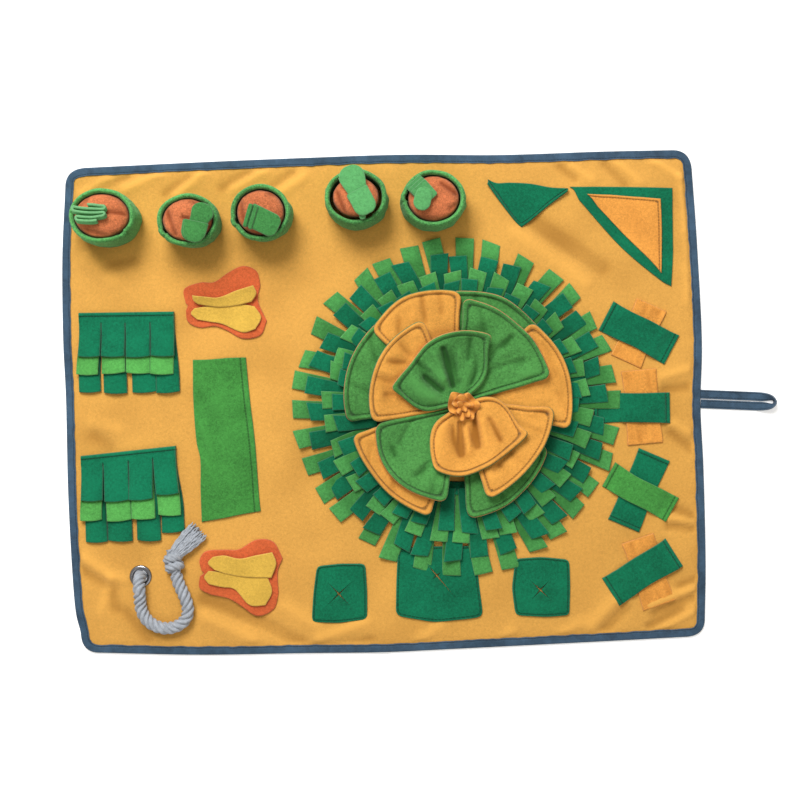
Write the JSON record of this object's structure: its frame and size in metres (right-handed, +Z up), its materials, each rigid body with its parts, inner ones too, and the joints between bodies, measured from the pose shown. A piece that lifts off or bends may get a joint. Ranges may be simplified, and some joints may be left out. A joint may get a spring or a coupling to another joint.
{
  "type": "snuffle mat",
  "caption": "Rectangular fleece snuffle mat with bound edge, a petalled fringe flower, carrot cups, pockets, crossed straps and a pull rope.",
  "frame": {"origin": "middle of the mat's flat underside", "axes": "+X along the long side towards the hang loop, +Y towards the row of cups, +Z up, out of the mat's face"},
  "size_m": [0.8008, 0.5603, 0.0656],
  "materials": {
    "golden_fleece": "soft brushed fleece",
    "blue_tape": "woven tape",
    "pot_fleece": "soft brushed fleece",
    "carrot_plush": "short plush",
    "leaf_fleece": "soft brushed fleece",
    "dark_green_fleece": "soft brushed fleece",
    "light_green_fleece": "soft brushed fleece",
    "petal_green_fleece": "soft brushed fleece",
    "petal_orange_fleece": "soft brushed fleece",
    "coral_fleece": "soft brushed fleece",
    "yellow_fleece": "soft brushed fleece",
    "rope_cotton": "twisted cotton",
    "chrome": "polished"
  },
  "bodies": {
    "root": {"mat_panel": "golden_fleece", "edge_binding": "blue_tape", "hang_loop": "blue_tape", "carrot_pot_1": "pot_fleece", "carrot_1": "carrot_plush", "carrot_leaves_1": "leaf_fleece", "carrot_pot_2": "pot_fleece", "carrot_2": "carrot_plush", "carrot_leaves_2": "leaf_fleece", "carrot_pot_3": "pot_fleece", "carrot_3": "carrot_plush", "carrot_leaves_3": "leaf_fleece", "carrot_pot_4": "pot_fleece", "carrot_4": "carrot_plush", "carrot_leaves_4": "leaf_fleece", "carrot_pot_5": "pot_fleece", "carrot_5": "carrot_plush", "carrot_leaves_5": "leaf_fleece", "triangle_pocket": "dark_green_fleece", "triangle_frame": "dark_green_fleece", "triangle_inset": "petal_orange_fleece", "fringe_pocket_1_top": "dark_green_fleece", "fringe_pocket_1_low": "dark_green_fleece", "fringe_pocket_1_middle": "light_green_fleece", "butterfly_1_base": "coral_fleece", "butterfly_1_wings": "yellow_fleece", "fringe_pocket_2_top": "dark_green_fleece", "fringe_pocket_2_low": "dark_green_fleece", "fringe_pocket_2_middle": "light_green_fleece", "butterfly_2_base": "coral_fleece", "butterfly_2_wings": "yellow_fleece", "tunnel_panel": "light_green_fleece", "rope": "rope_cotton", "rope_knot": "rope_cotton", "rope_tassel": "rope_cotton", "eyelet": "chrome", "slit_square_1": "dark_green_fleece", "slit_square_2": "dark_green_fleece", "slit_square_3": "dark_green_fleece", "strap_under_1": "petal_orange_fleece", "strap_under_2": "petal_orange_fleece", "strap_under_4": "petal_orange_fleece", "strap_under_3": "dark_green_fleece", "strap_over_1": "dark_green_fleece", "strap_over_2": "dark_green_fleece", "strap_over_4": "dark_green_fleece", "strap_over_3": "light_green_fleece", "fringe_ring_1": "light_green_fleece", "fringe_ring_3": "light_green_fleece", "fringe_ring_2": "dark_green_fleece", "fringe_ring_4": "dark_green_fleece", "petals_low_green": "petal_green_fleece", "petal_mid_2": "petal_green_fleece", "petal_mid_4": "petal_green_fleece", "petal_top_green": "petal_green_fleece", "petals_low_orange": "petal_orange_fleece", "petal_mid_1": "petal_orange_fleece", "petal_mid_3": "petal_orange_fleece", "petal_top_orange": "petal_orange_fleece", "petal_centre": "petal_orange_fleece"}
  },
  "joints": []
}
